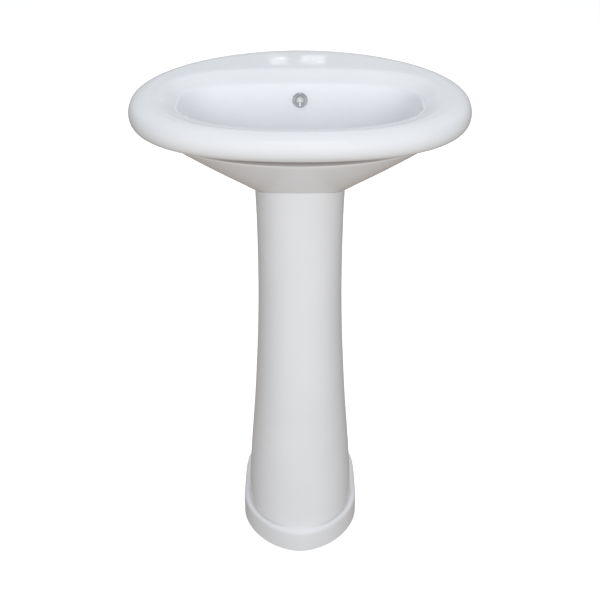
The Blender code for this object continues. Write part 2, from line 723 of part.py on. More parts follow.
def build_cup():
    """The cup that unscrews from the trap's body for cleaning."""
    drop = bpy.data.objects.new("cup_drop_axis", None)
    PARTS.objects.link(drop)
    drop.location = (0, DRAIN_Y, TRAP_BOTTOM_Z)
    cup = turned_solid("trap_cup", [
        (0, -0.0700), (0.0262, -0.0700), (0.0262, -0.0178), (0.0288, -0.0178), (0.0288, -0.0006),
        (0.0330, -0.0006), (0.0340, -0.0016), (0.0340, -0.0190), (0.0290, -0.0220),
        (0.0290, -0.0700), (0.0250, -0.0740), (0, -0.0740),
    ], PLASTIC)
    seal = turned("cup_seal", [
        (0.0284, -0.0154), (0.0284, -0.0175), (0.0264, -0.0175), (0.0264, -0.0154),
    ], RUBBER)
    for piece in (cup, seal):
        piece.parent = drop


# ---------------------------------------------------------------- assembly
def main():
    basin_surface = build_basin()
    build_pedestal(basin_surface)
    build_overflow_ring(basin_surface)
    build_waste()
    build_cartridge()
    build_plug()
    build_trap()


main()
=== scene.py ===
"""The looks of the pedestal sink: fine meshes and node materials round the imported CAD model.

Units are metres. +Z is up, the wall is at +Y, and the origin is on the floor under the
middle of the sink. Most fittings are turned again, more finely, from the outline that their
CAD node has, and the basin and the pedestal are lofted again from their outlines.
"""

import json
import math

import bmesh
import bpy
import numpy as np
from mathutils import Matrix, Vector
from mathutils.bvhtree import BVHTree


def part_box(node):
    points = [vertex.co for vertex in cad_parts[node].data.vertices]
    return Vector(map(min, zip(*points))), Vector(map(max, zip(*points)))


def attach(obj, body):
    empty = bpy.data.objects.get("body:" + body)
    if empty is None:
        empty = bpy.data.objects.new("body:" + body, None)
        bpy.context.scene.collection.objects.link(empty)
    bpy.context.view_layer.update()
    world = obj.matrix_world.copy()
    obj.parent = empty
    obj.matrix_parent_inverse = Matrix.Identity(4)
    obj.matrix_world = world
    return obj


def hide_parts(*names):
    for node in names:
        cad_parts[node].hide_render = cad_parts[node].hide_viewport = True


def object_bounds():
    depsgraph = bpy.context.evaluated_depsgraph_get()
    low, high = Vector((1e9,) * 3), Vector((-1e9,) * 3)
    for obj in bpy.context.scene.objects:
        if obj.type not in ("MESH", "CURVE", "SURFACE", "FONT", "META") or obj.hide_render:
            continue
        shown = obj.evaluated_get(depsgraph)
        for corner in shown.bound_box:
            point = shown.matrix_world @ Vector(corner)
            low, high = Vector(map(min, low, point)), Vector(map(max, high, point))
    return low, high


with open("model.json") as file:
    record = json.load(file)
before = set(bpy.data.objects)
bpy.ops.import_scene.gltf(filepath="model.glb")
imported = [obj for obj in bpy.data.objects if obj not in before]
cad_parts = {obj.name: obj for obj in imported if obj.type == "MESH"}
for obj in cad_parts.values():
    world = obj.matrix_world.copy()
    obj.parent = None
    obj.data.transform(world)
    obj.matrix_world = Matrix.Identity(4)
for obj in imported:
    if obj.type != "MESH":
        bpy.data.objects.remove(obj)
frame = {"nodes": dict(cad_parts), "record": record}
cad_low, cad_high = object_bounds()

# ---------------------------------------------------------------- sizes, from the frame
SINK_WIDTH = round(cad_high.x - cad_low.x, 3)
SINK_DEPTH = round(cad_high.y - cad_low.y, 3)
SINK_HEIGHT = round(cad_high.z, 3)
WALL_Y = SINK_DEPTH / 2
FRONT_Y = -SINK_DEPTH / 2
GAP = 0.0003  # between pieces that touch

waste_low, waste_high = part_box("waste_body")
trap_low, trap_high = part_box("trap_body")
outlet_low, outlet_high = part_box("outlet_tube")
DRAIN_Y = round((waste_low.y + waste_high.y) / 2, 4)
WASTE_BOTTOM_Z = waste_low.z
OUTLET_Z = round((outlet_low.z + outlet_high.z) / 2, 4)

# The basin.
RIM_MIDDLE_Y = -0.0185
RIM_THICKNESS = 0.045
DECK_DROP = 0.015  # from the tap deck down to the bowl's lip at the back
FRONT_DROP = 0.0045  # the same at the front
SHOULDER_Z = SINK_HEIGHT - 0.122
FLOOR_Z = SINK_HEIGHT - 0.170
SEAT_Z = FLOOR_Z - 0.005
LAND_Z = SINK_HEIGHT - 0.198
UNDER_RIM_Z = SINK_HEIGHT - 0.050
UNDER_POWER = 1.433  # how the underside falls from the rim to the land
GROOVE_TOP_Z = UNDER_RIM_Z - 0.0006
GROOVE_BOTTOM_Z = UNDER_RIM_Z - 0.0145
WASTE_HOLE_R = 0.0229
RECESS_R = 0.0365
LAND_R = 0.034
OVERFLOW_Z = SINK_HEIGHT - 0.0445
OVERFLOW_HOLE_R = 0.0110
DUCT_FRONT_Y = 0.077
DUCT_BACK_Y = 0.091
DUCT_BOTTOM_Z = 0.697
DUCT_HALF_WIDTH = 0.014
CHANNEL_R = 0.0065  # the round way from the duct to the waste
CHANNEL_END_Z = 0.6570
POCKET_FRONT_Y = 0.102
POCKET_TOP_Z = SINK_HEIGHT - 0.014
BACK_WALL = 0.013
WALL_HOLE_X = 0.040
WALL_HOLE_Z = SINK_HEIGHT - 0.067
WALL_HOLE_R = 0.006

# The pedestal.
PEDESTAL_WALL = 0.011
PLINTH_HEIGHT = 0.046
NECK_Z = 0.600
WINDOW_FRONT_Y = 0.080
WINDOW_BACK_Y = 0.160
WINDOWS = (  # the openings behind: name, half-width, bottom and top
    ("lower", 0.058, 0.060, 0.300),
    ("upper", 0.050, 0.345, 0.780),
)
LUG_TOP_Z = 0.014
FLOOR_HOLE_X = 0.074
FLOOR_HOLE_Y = 0.085
FLOOR_HOLE_R = 0.004
COLUMN = (  # height, half-width and front
    (0.050, 0.0960, -0.1490),
    (0.062, 0.0955, -0.1465),
    (0.085, 0.0955, -0.1450),
    (0.125, 0.0940, -0.1430),
    (0.190, 0.0888, -0.1400),
    (0.260, 0.0834, -0.1365),
    (0.340, 0.0789, -0.1325),
    (0.430, 0.0744, -0.1280),
    (0.530, 0.0728, -0.1235),
    (0.640, 0.0740, -0.1195),
    (0.680, 0.0762, -0.1185),
)

# How finely the pieces are divided.
BASIN_SIDES = 168
BASIN_STEPS = 5
PEDESTAL_SIDES = 132
PEDESTAL_STEPS = 4
LATHE_STEPS = 96
RIBBED_STEPS = 192
ON_AXIS = 1e-6


# ---------------------------------------------------------------- node materials
class Shader:
    """A Principled material whose nodes read the object's own coordinates, in metres."""

    def __init__(self, name, roughness, metallic=0.0, ior=1.5):
        self.material = bpy.data.materials.new(name)
        self.material.use_nodes = True
        self.nodes = self.material.node_tree.nodes
        self.links = self.material.node_tree.links
        self.principled = self.nodes["Principled BSDF"]
        self.principled.inputs["Roughness"].default_value = roughness
        self.principled.inputs["Metallic"].default_value = metallic
        self.principled.inputs["IOR"].default_value = ior
        self.place = self.nodes.new("ShaderNodeTexCoord").outputs["Object"]

    def set(self, socket, value):
        self.principled.inputs[socket].default_value = value

    def off_centre(self):
        """How far a point is to either side of the object's middle."""
        parts = self.nodes.new("ShaderNodeSeparateXYZ")
        size = self.nodes.new("ShaderNodeMath")
        size.operation = "ABSOLUTE"
        self.links.new(self.place, parts.inputs["Vector"])
        self.links.new(parts.outputs["X"], size.inputs[0])
        return size.outputs["Value"]

    def noise(self, scale, detail=2.0, stretch=(1, 1, 1)):
        """A noise over the object, with so many features to the metre."""
        mapping = self.nodes.new("ShaderNodeMapping")
        mapping.inputs["Scale"].default_value = stretch
        self.links.new(self.place, mapping.inputs["Vector"])
        noise = self.nodes.new("ShaderNodeTexNoise")
        noise.inputs["Scale"].default_value = scale
        noise.inputs["Detail"].default_value = detail
        self.links.new(mapping.outputs["Vector"], noise.inputs["Vector"])
        return noise.outputs["Fac"]

    def ramp(self, factor, stops):
        """A colour ramp with (place, colour) stops."""
        ramp = self.nodes.new("ShaderNodeValToRGB")
        elements = ramp.color_ramp.elements
        while len(elements) < len(stops):
            elements.new(0.5)
        for element, (place, colour) in zip(elements, stops):
            element.position = place
            element.color = (*colour, 1.0)
        self.links.new(factor, ramp.inputs["Fac"])
        return ramp.outputs["Color"]

    def spread(self, factor, low, high, start=0.3, end=0.7):
        """Maps a factor from start to end onto values from low to high."""
        spread = self.nodes.new("ShaderNodeMapRange")
        for socket, value in (("From Min", start), ("From Max", end), ("To Min", low), ("To Max", high)):
            spread.inputs[socket].default_value = value
        self.links.new(factor, spread.inputs["Value"])
        return spread.outputs["Result"]

    def colour(self, output):
        self.links.new(output, self.principled.inputs["Base Color"])

    def roughness(self, output):
        self.links.new(output, self.principled.inputs["Roughness"])

    def bump(self, height, distance):
        """Adds a bump whose full height is a distance in metres, over any earlier one."""
        bump = self.nodes.new("ShaderNodeBump")
        bump.inputs["Strength"].default_value = 1.0
        bump.inputs["Distance"].default_value = distance
        self.links.new(height, bump.inputs["Height"])
        normal = self.principled.inputs["Normal"]
        if normal.links:
            self.links.new(normal.links[0].from_socket, bump.inputs["Normal"])
        self.links.new(bump.outputs["Normal"], normal)


def glazed_china():
    """White vitreous china: a deep gloss with the faint ripple and cloudiness of its glaze,
    and a few pinholes."""
    shader = Shader("white_glaze", 0.09, ior=1.52)
    clouds = shader.noise(9, 3)
    shader.colour(shader.ramp(clouds, [(0.30, (0.835, 0.842, 0.856)), (0.70, (0.865, 0.870, 0.880))]))
    shader.roughness(shader.spread(shader.noise(26, 4), 0.06, 0.11))
    shader.bump(shader.noise(28, 1), 0.00025)
    shader.bump(shader.noise(420, 2), 0.000012)
    pinholes = shader.nodes.new("ShaderNodeTexVoronoi")
    pinholes.inputs["Scale"].default_value = 55
    shader.links.new(shader.place, pinholes.inputs["Vector"])
    shader.bump(shader.spread(pinholes.outputs["Distance"], 0, 1, 0.0, 0.02), 0.00015)
    return shader.material


def groove_shade_glaze():
    """Thin, rougher glaze in the groove under the rim, with painted shade: grey in front, fading to plain
    white at the sides.
    """
    shader = Shader("groove_shade_glaze", 0.30)
    # Painted shade: the grey stands in for the shade under the rim's overhang, and fades out towards the
    # sides.
    unshaded = shader.spread(shader.off_centre(), 0.0, 1.0, 0.12, 0.20)
    shader.colour(shader.ramp(unshaded, [(0.0, (0.43, 0.41, 0.40)), (1.0, (0.84, 0.85, 0.86))]))
    return shader.material


def bare_china():
    """Fired clay where the glaze stops: dull, a little yellow, and grainy."""
    shader = Shader("bare_china", 0.75)
    clouds = shader.noise(14, 5)
    shader.colour(shader.ramp(clouds, [(0.30, (0.60, 0.58, 0.53)), (0.70, (0.70, 0.68, 0.63))]))
    shader.roughness(shader.spread(shader.noise(60, 3), 0.62, 0.85))
    shader.bump(shader.noise(900, 3), 0.00008)
    return shader.material


def chrome():
    """Polished chrome with faint wiping marks and dried water film."""
    shader = Shader("chrome", 0.08, metallic=1.0)
    film = shader.noise(60, 4)
    shader.colour(shader.ramp(film, [(0.35, (0.60, 0.61, 0.63)), (0.65, (0.68, 0.69, 0.71))]))
    shader.roughness(shader.spread(shader.noise(240, 4, (1, 1, 0.2)), 0.05, 0.14))
    shader.bump(shader.noise(700, 2, (1, 1, 0.15)), 0.000004)
    return shader.material


def brass():
    """Cast and turned brass, browner where it has dulled."""
    shader = Shader("brass", 0.35, metallic=1.0)
    tarnish = shader.noise(110, 5)
    shader.colour(shader.ramp(tarnish, [(0.34, (0.50, 0.35, 0.16)), (0.66, (0.74, 0.57, 0.29))]))
    shader.roughness(shader.spread(tarnish, 0.48, 0.26))
    shader.bump(shader.noise(1500, 2, (1, 1, 6)), 0.00002)
    return shader.material


def spring_steel():
    """Drawn wire with fine marks along it."""
    shader = Shader("spring_steel", 0.28, metallic=1.0)
    marks = shader.noise(1800, 3)
    shader.colour(shader.ramp(marks, [(0.30, (0.42, 0.43, 0.45)), (0.70, (0.58, 0.59, 0.61))]))
    shader.roughness(shader.spread(marks, 0.22, 0.38))
    shader.bump(marks, 0.00001)
    return shader.material


def black_rubber():
    """Moulded rubber with a chalky bloom in places."""
    shader = Shader("black_rubber", 0.70)
    bloom = shader.noise(160, 5)
    shader.colour(shader.ramp(bloom, [(0.40, (0.018, 0.018, 0.019)), (0.75, (0.070, 0.070, 0.068))]))
    shader.roughness(shader.spread(bloom, 0.60, 0.85))
    shader.bump(shader.noise(2200, 2), 0.00003)
    return shader.material


def white_plastic():
    """Moulded polypropylene: a soft sheen over a fine spark-eroded grain."""
    shader = Shader("white_plastic", 0.32)
    flow = shader.noise(40, 3, (1, 1, 0.4))
    shader.colour(shader.ramp(flow, [(0.30, (0.70, 0.70, 0.68)), (0.70, (0.78, 0.78, 0.76))]))
    shader.roughness(shader.spread(shader.noise(90, 3), 0.27, 0.40))
    shader.bump(shader.noise(2600, 2), 0.00002)
    shader.set("Subsurface Weight", 0.05)
    shader.set("Subsurface Scale", 0.002)
    return shader.material


def pale_floor():
    """A plain pale studio floor with a barely visible mottle."""
    shader = Shader("pale_floor", 0.85)
    mottle = shader.noise(3, 3)
    shader.colour(shader.ramp(mottle, [(0.3, (0.925, 0.92, 0.915)), (0.7, (0.94, 0.935, 0.93))]))
    shader.set("Emission Color", (1.0, 0.99, 0.98, 1.0))
    shader.set("Emission Strength", 0.45)
    return shader.material


GLAZE = glazed_china()
GROOVE_SHADE_GLAZE = groove_shade_glaze()
BARE_CHINA = bare_china()
CHROME = chrome()
BRASS = brass()
STEEL = spring_steel()
RUBBER = black_rubber()
PLASTIC = white_plastic()
BODY_OF = {
    node: body
    for body, nodes in frame["record"]["behaviour"]["bodies"].items()
    for node in nodes
}


# ---------------------------------------------------------------- modelling helpers
def object_from(bm, name, *materials):
    """Turns a bmesh into an object with the given materials."""
    bmesh.ops.recalc_face_normals(bm, faces=bm.faces)
    mesh = bpy.data.meshes.new(name)
    bm.to_mesh(mesh)
    bm.free()
    obj = bpy.data.objects.new(name, mesh)
    bpy.context.scene.collection.objects.link(obj)
    for material in materials:
        mesh.materials.append(material)
    return obj


def smooth(obj, degrees=35):
    """Shades a piece smooth, apart from edges sharper than so many degrees."""
    obj.data.shade_smooth()
    obj.data.set_sharp_from_angle(angle=math.radians(degrees))
    return obj


def finish_piece(piece, node):
    """Attaches the piece to the body that its CAD node rides on, and hides that node."""
    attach(piece, BODY_OF[node])
    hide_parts(node)
    return piece


def paint(piece, material, chosen):
    """Gives a material to the faces that chosen(face) picks."""
    if material.name not in piece.data.materials:
        piece.data.materials.append(material)
    index = piece.data.materials.find(material.name)
    for face in piece.data.polygons:
        if chosen(face):
            face.material_index = index


def combine(obj, others, operation):
    """Cuts obj with other solids, or joins them to it, and removes them."""
    for other in others:
        modifier = obj.modifiers.new(other.name, "BOOLEAN")
        modifier.operation = operation
        modifier.solver = "EXACT"
        modifier.material_mode = "TRANSFER"
        modifier.object = other
    graph = bpy.context.evaluated_depsgraph_get()
    mesh = bpy.data.meshes.new_from_object(obj.evaluated_get(graph))
    obj.modifiers.clear()
    obj.data = mesh
    for other in others:
        bpy.data.objects.remove(other)
    return smooth(obj)


def rounded(profile, radius, closed, arc_steps=3):
    """The profile with its corners rounded, by less where there is no room."""
    points = [Vector(point) for point in profile]
    found = []
    for i, corner in enumerate(points):
        at_end = not closed and i in (0, len(points) - 1)
        back = points[i - 1] - corner
        ahead = points[(i + 1) % len(points)] - corner
        straight = at_end or back.angle(ahead) > math.radians(165)
        if straight:
            found.append(corner)
            continue
        cut = min(radius, back.length * 0.4, ahead.length * 0.4)
        start = corner + back.normalized() * cut
        end = corner + ahead.normalized() * cut
        for step in range(arc_steps + 1):
            t = step / arc_steps
            found.append(start * (1 - t) ** 2 + corner * 2 * t * (1 - t) + end * t**2)
    return found


def lathe(name, profile, material, placed, closed=True, steps=LATHE_STEPS, shape=None):
    """A solid turned about the local Z of the matrix placed. A closed profile makes a ring or
    a sleeve, and an open one starts and ends on the axis. shape(radius, height, angle) may
    give each point another radius, for ribs and flats."""
    bm = bmesh.new()
    rings = []
    for radius, height in profile:
        if radius < ON_AXIS:
            rings.append([bm.verts.new(placed @ Vector((0, 0, height)))] * steps)
            continue
        ring = []
        for step in range(steps):
            angle = 2 * math.pi * step / steps
            reach = shape(radius, height, angle) if shape else radius
            point = Vector((reach * math.cos(angle), reach * math.sin(angle), height))
            ring.append(bm.verts.new(placed @ point))
        rings.append(ring)
    following = rings[1:] + rings[:1] if closed else rings[1:]
    for lower, upper in zip(rings, following):
        for step in range(steps):
            after = (step + 1) % steps
            corners = [lower[step], lower[after], upper[after], upper[step]]
            corners = [corner for i, corner in enumerate(corners) if corner not in corners[:i]]
            bm.faces.new(corners)
    return smooth(object_from(bm, name, material))


def rod(name, start, end, radius, material, sides=48):
    """A cylinder between two points, for cutting and joining."""
    along = Vector(end) - Vector(start)
    half_side = Matrix.Rotation(math.pi / sides, 4, "Z")
    turn = along.to_track_quat("Z", "Y").to_matrix().to_4x4() @ half_side
    placed = Matrix.Translation(start) @ turn
    profile = [(0, 0), (radius, 0), (radius, along.length), (0, along.length)]
    return lathe(name, profile, material, placed, closed=False, steps=sides)


def rounded_box(name, low, high, radius, material):
    """A box with rounded edges, for cutting and joining."""
    bm = bmesh.new()
    bmesh.ops.create_cube(bm, size=1.0)
    bmesh.ops.scale(bm, vec=Vector(high) - Vector(low), verts=bm.verts)
    bmesh.ops.translate(bm, vec=(Vector(high) + Vector(low)) / 2, verts=bm.verts)
    if radius:
        bmesh.ops.bevel(bm, geom=bm.edges, offset=radius, segments=6, profile=0.5, affect="EDGES")
    return object_from(bm, name, material)


# ---------------------------------------------------------------- outlines and lofts
class Outline:
    """A plan outline: a front and a back superellipse half that meet on the widest line."""

    def __init__(self, half_width, front, back, middle, front_power=2.0, back_power=2.0):
        self.sizes = np.array([half_width, front, back, middle, front_power, back_power])

    def mixed(self, other, share):
        """The outline a share of the way from this one to the other."""
        return Outline(*(self.sizes * (1 - share) + other.sizes * share))

    def inset(self, distance, back_inset=None):
        """The outline drawn in by a distance, and by another one behind where it is given."""
        half_width, front, back, middle, front_power, back_power = self.sizes
        back -= distance if back_inset is None else back_inset
        return Outline(
            half_width - distance, front + distance, back, middle, front_power, back_power
        )

    def row(self, sides, height, furthest_back=None):
        """Points round the outline, anticlockwise from +X. The height is a number, or a
        function of each point's place round the outline, from -1 in front to 1 behind."""
        half_width, front, back, middle, front_power, back_power = self.sizes
        angle = np.arange(sides) * 2 * math.pi / sides
        cosine = np.cos(angle)
        sine = np.sin(angle)
        power = np.where(sine < 0, front_power, back_power)
        depth = np.where(sine < 0, middle - front, back - middle)
        reach = (np.abs(cosine) ** power + np.abs(sine) ** power) ** (-1 / power)
        x = half_width * reach * cosine
        y = middle + depth * reach * sine
        if furthest_back is not None:
            y = np.minimum(y, furthest_back)
        z = height(sine) if callable(height) else np.full(sides, float(height))
        return np.stack([x, y, z], axis=1)


def circle(radius):
    """A round outline about the waste's axis."""
    return Outline(radius, DRAIN_Y - radius, DRAIN_Y + radius, DRAIN_Y)


def spline_rows(rows, steps):
    """Rows on the cubic B-spline that the given rows control, from the first to the last."""
    rows = [np.asarray(row) for row in rows]
    padded = [2 * rows[0] - rows[1], *rows, 2 * rows[-1] - rows[-2]]
    found = []
    for i in range(len(rows) - 1):
        a, b, c, d = padded[i : i + 4]
        for step in range(steps):
            t = step / steps
            found.append(
                ((1 - t) ** 3 * a + (3 * t**3 - 6 * t**2 + 4) * b
                 + (-3 * t**3 + 3 * t**2 + 3 * t + 1) * c + t**3 * d) / 6
            )
    found.append(rows[-1])
    return found


def ring_loft(name, rows, materials, inner_from=None):
    """A closed surface through rows of points, whose last row meets the first. Faces from
    the row inner_from on take the second material."""
    bm = bmesh.new()
    layers = [[bm.verts.new(Vector(point)) for point in row] for row in rows]
    for number, (lower, upper) in enumerate(zip(layers, layers[1:] + layers[:1])):
        for i in range(len(lower)):
            j = (i + 1) % len(lower)
            face = bm.faces.new((lower[i], lower[j], upper[j], upper[i]))
            face.material_index = int(inner_from is not None and number >= inner_from)
    return smooth(object_from(bm, name, *materials))


def prism(name, outline, low, high, material, sides=90):
    """An upright solid with an outline's plan, for cutting."""
    bm = bmesh.new()
    floor = [bm.verts.new(Vector(point)) for point in outline.row(sides, low)]
    bottom = bm.faces.new(floor)
    raised = bmesh.ops.extrude_face_region(bm, geom=[bottom])
    top = [item for item in raised["geom"] if isinstance(item, bmesh.types.BMVert)]
    bmesh.ops.translate(bm, vec=(0, 0, high - low), verts=top)
    return object_from(bm, name, material)


# ---------------------------------------------------------------- basin
def lip_height(place):
    """The lip is lowest under the tap deck and nearly level with the rim in front."""
    way_back = (place + 1) / 2
    share = way_back * way_back * (3 - 2 * way_back)
    return SINK_HEIGHT - FRONT_DROP - (DECK_DROP - FRONT_DROP) * share


def lowered(drop):
    """A height that follows the lip at a drop below it."""
    return lambda place: lip_height(place) - drop


RIM = Outline(SINK_WIDTH / 2, FRONT_Y, WALL_Y + 0.0045, RIM_MIDDLE_Y, 2.42, 1.93)
LIP = Outline(0.200, -0.176, 0.071, -0.035, 2.40, 3.20)
DECK_EDGE = Outline(0.226, -0.1955, 0.104, -0.030, 2.40, 3.00)
ROLL = RIM.inset(0.0245)  # where the flat deck turns down into the rim's roll
SHOULDER = Outline(0.118, -0.112, 0.039, -0.033, 2.10, 2.60)


def underside(share):
    """The basin's outer outline below the rim, from the land at 0 to the rim at 1. Behind,
    its upper part runs back to the wall as an apron."""
    reaches_wall = share > 0.75
    half_width = 0.2463 * share**1.12
    front = DRAIN_Y - 0.1635 * share
    back = WALL_Y + 0.003 if reaches_wall else DRAIN_Y + 0.290 * share
    middle = -0.0465 * share + 0.0300 * (1 - share)
    return Outline(half_width, front, back, middle, 2.0, 2.5)


def underside_z(share):
    return LAND_Z + (UNDER_RIM_Z - LAND_Z) * share**UNDER_POWER


def basin_rows(sides, steps):
    """The basin's section, as outlines: up the bowl, over the rim, round the groove, down the
    underside and up through the waste hole."""
    top = SINK_HEIGHT
    bowl = [
        circle(RECESS_R).row(sides, FLOOR_Z),
        circle(RECESS_R).mixed(SHOULDER, 0.45).row(sides, FLOOR_Z + 0.006),
        SHOULDER.mixed(LIP, 0.02).row(sides, SHOULDER_Z - 0.012),
    ]
    for share, drop in ((0.62, 0.082), (0.87, 0.045), (0.97, 0.016)):
        bowl.append(SHOULDER.mixed(LIP, share).row(sides, lowered(drop)))
    lip = [
        LIP.inset(0.0015).row(sides, lowered(0.0045)),
        LIP.inset(-0.0025).row(sides, lowered(-0.0005)),
        LIP.mixed(DECK_EDGE, 0.45).row(sides, lowered(-0.0028)),
    ]
    rim = [
        DECK_EDGE.inset(0.003).row(sides, top - 0.0016),
        DECK_EDGE.inset(-0.003).row(sides, top),
        DECK_EDGE.inset(-0.003).mixed(ROLL, 0.35).row(sides, top),
        DECK_EDGE.inset(-0.003).mixed(ROLL, 0.70).row(sides, top),
        ROLL.row(sides, top),
        RIM.inset(0.0045).row(sides, top - 0.0050, WALL_Y),
        RIM.inset(-0.0022).row(sides, top - RIM_THICKNESS / 2, WALL_Y),
        RIM.inset(0.0040).row(sides, top - RIM_THICKNESS + 0.0035, WALL_Y),
        RIM.inset(0.022, back_inset=0).row(sides, top - RIM_THICKNESS - 0.001, WALL_Y),
    ]
    groove = [  # an undercut that runs round under the rim
        underside(share).row(sides, UNDER_RIM_Z - drop, WALL_Y)
        for share, drop in ((0.955, 0.0012), (0.885, 0.0032), (0.881, 0.0086), (0.940, 0.0122))
    ]
    under = []
    for share in (0.90, 0.80, 0.68, 0.55, 0.43, 0.33):
        under.append(underside(share).row(sides, underside_z(share), WALL_Y))
    under.append(circle(LAND_R + 0.012).row(sides, LAND_Z + 0.004))
    under.append(circle(LAND_R).row(sides, LAND_Z))
    hole = [
        circle(WASTE_HOLE_R).row(sides, LAND_Z),
        circle(WASTE_HOLE_R).row(sides, SEAT_Z),
        circle(LAND_R).row(sides, SEAT_Z),
    ]
    return spline_rows(bowl + lip + rim + groove + under, steps) + hole


class OverflowAxis:
    """The overflow hole's axis, square to the bowl's back wall where it meets it."""

    def __init__(self, surface):
        start = Vector((0, 0, OVERFLOW_Z))
        self.wall, normal, *_ = surface.ray_cast(start, Vector((0, 1, 0)))
        self.into_wall = Vector((0, abs(normal.y), -abs(normal.z)))
        self.tilt = math.atan2(self.into_wall.y, -self.into_wall.z)

    def point(self, depth):
        return self.wall + self.into_wall * depth

    def matrix(self, depth):
        return Matrix.Translation(self.point(depth)) @ Matrix.Rotation(self.tilt, 4, "X")


def against_wall(face):
    """Whether a face is in the flat back, which is left unglazed."""
    return face.center.y > WALL_Y - 0.0002 and face.normal.y > 0.99


def in_painted_groove(face):
    """Whether a face is in the front half of the groove under the rim, which is painted with shade."""
    x, y, z = face.center
    behind_groove = underside(0.86)
    half_width, front, _, middle, _, _ = behind_groove.sizes
    forward = (y - middle) / (front - middle)
    in_front = forward > 0 and math.hypot(x / half_width, forward) > 1
    return in_front and GROOVE_BOTTOM_Z < z < GROOVE_TOP_Z


def basin_cutters(axis):
    """The hollow under the tap deck, the overflow's way to the waste, and the wall holes."""
    pocket = Outline(0.128, POCKET_FRONT_Y, WALL_Y - BACK_WALL, 0.150, 7.0, 2.3)
    duct_low = (-DUCT_HALF_WIDTH, DUCT_FRONT_Y, DUCT_BOTTOM_Z)
    duct_high = (DUCT_HALF_WIDTH, DUCT_BACK_Y, OVERFLOW_Z + 0.012)
    channel_start = (0, (DUCT_FRONT_Y + DUCT_BACK_Y) / 2, DUCT_BOTTOM_Z + 0.004)
    channel_end = (0, DRAIN_Y + 0.012, CHANNEL_END_Z)
    cutters = [
        prism("pocket_cut", pocket, LAND_Z - 0.05, POCKET_TOP_Z, BARE_CHINA),
        rod("overflow_hole_cut", axis.point(-0.02), axis.point(0.018), OVERFLOW_HOLE_R, GLAZE),
        rounded_box("overflow_duct_cut", duct_low, duct_high, 0.003, BARE_CHINA),
        rod("overflow_channel_cut", channel_start, channel_end, CHANNEL_R, BARE_CHINA),
    ]
    for side in (-1, 1):
        start = (side * WALL_HOLE_X, WALL_Y - BACK_WALL - 0.03, WALL_HOLE_Z)
        end = (side * WALL_HOLE_X, WALL_Y + 0.02, WALL_HOLE_Z)
        cutters.append(rod(f"wall_hole_cut_{side + 1}", start, end, WALL_HOLE_R, BARE_CHINA))
    return cutters


def build_basin():
    """Builds the basin and returns its surface before it is cut."""
    basin = ring_loft("basin_china", basin_rows(BASIN_SIDES, BASIN_STEPS), [GLAZE])
    surface = BVHTree.FromObject(basin, bpy.context.evaluated_depsgraph_get())
    combine(basin, basin_cutters(OverflowAxis(surface)), "DIFFERENCE")
    paint(basin, BARE_CHINA, against_wall)
    # Painted shade: the groove's front faces take a darker glaze that stands in for the shade under the
    # rim.
    paint(basin, GROOVE_SHADE_GLAZE, in_painted_groove)
    finish_piece(basin, "basin")
    return surface


# ---------------------------------------------------------------- pedestal
FOOT = Outline(0.1078, -0.1574, 0.135, -0.030, 1.82, 5.0)


def column_outline(half_width, front, inset=0.0):
    return Outline(half_width, front, 0.120, -0.030, 2.20, 5.0).inset(inset)


def rise_to_basin(row, surface, share):
    """Lifts a row of points by a share of the way up to the basin's underside."""
    lifted = row.copy()
    for point in lifted:
        below = Vector((point[0], point[1], NECK_Z / 2))
        hit, *_ = surface.ray_cast(below, Vector((0, 0, 1)))
        point[2] += share * (hit.z - GAP - point[2])
    return lifted


def foot_rows(sides):
    return [
        FOOT.row(sides, 0.0),
        FOOT.row(sides, PLINTH_HEIGHT - 0.028),
        FOOT.row(sides, PLINTH_HEIGHT - 0.011),
        FOOT.inset(0.0005).row(sides, PLINTH_HEIGHT - 0.0045),
        FOOT.inset(0.0060).row(sides, PLINTH_HEIGHT),
    ]


def column_rows(sides, inset=0.0):
    """The column's levels below its neck."""
    return [
        column_outline(half_width, front, inset).row(sides, height)
        for height, half_width, front in COLUMN
        if height < NECK_Z
    ]


def neck_rows(surface, sides, inset=0.0):
    """The column's last levels, which bend until the last follows the basin."""
    *_, half_way, top = [column_outline(width, front, inset) for height, width, front in COLUMN]
    return [
        rise_to_basin(half_way.row(sides, NECK_Z), surface, 0.5),
        rise_to_basin(top.row(sides, NECK_Z), surface, 1.0),
    ]


def pedestal_rows(surface, sides, steps):
    """The outside's rows, from the floor up, and the inside's."""
    outside = foot_rows(sides) + column_rows(sides) + neck_rows(surface, sides)
    inside = [
        FOOT.inset(0.013).row(sides, 0.0),
        *column_rows(sides, PEDESTAL_WALL),
        *neck_rows(surface, sides, PEDESTAL_WALL),
    ]
    return spline_rows(outside, steps), spline_rows(inside, steps)


def window_cutters():
    """The two openings behind, with a crosspiece between them."""
    cutters = []
    for name, half_width, bottom, top in WINDOWS:
        low = (-half_width, WINDOW_FRONT_Y, bottom)
        high = (half_width, WINDOW_BACK_Y, top)
        cutters.append(rounded_box(f"{name}_window_cut", low, high, 0.012, GLAZE))
    return cutters


def floor_lug(side):
    """A lug inside the foot, and the cutter for its screw hole."""
    near, far = sorted((side * 0.056, side * 0.092))
    lug = rounded_box(f"floor_lug_{side + 1}", (near, 0.055, 0.0), (far, 0.110, LUG_TOP_Z), 0, BARE_CHINA)
    start = (side * FLOOR_HOLE_X, FLOOR_HOLE_Y, -0.01)
    end = (side * FLOOR_HOLE_X, FLOOR_HOLE_Y, 0.03)
    return lug, rod(f"floor_hole_cut_{side + 1}", start, end, FLOOR_HOLE_R, BARE_CHINA)


def build_pedestal(surface):
    outside, inside = pedestal_rows(surface, PEDESTAL_SIDES, PEDESTAL_STEPS)
    finishes = [GLAZE, BARE_CHINA]
    pedestal = ring_loft("pedestal_china", outside + inside[::-1], finishes, len(outside) - 1)
    cutters = window_cutters()
    lugs = []
    for side in (-1, 1):
        lug, hole = floor_lug(side)
        lugs.append(lug)
        cutters.append(hole)
    combine(pedestal, lugs, "UNION")
    combine(pedestal, cutters, "DIFFERENCE")
    finish_piece(pedestal, "pedestal")


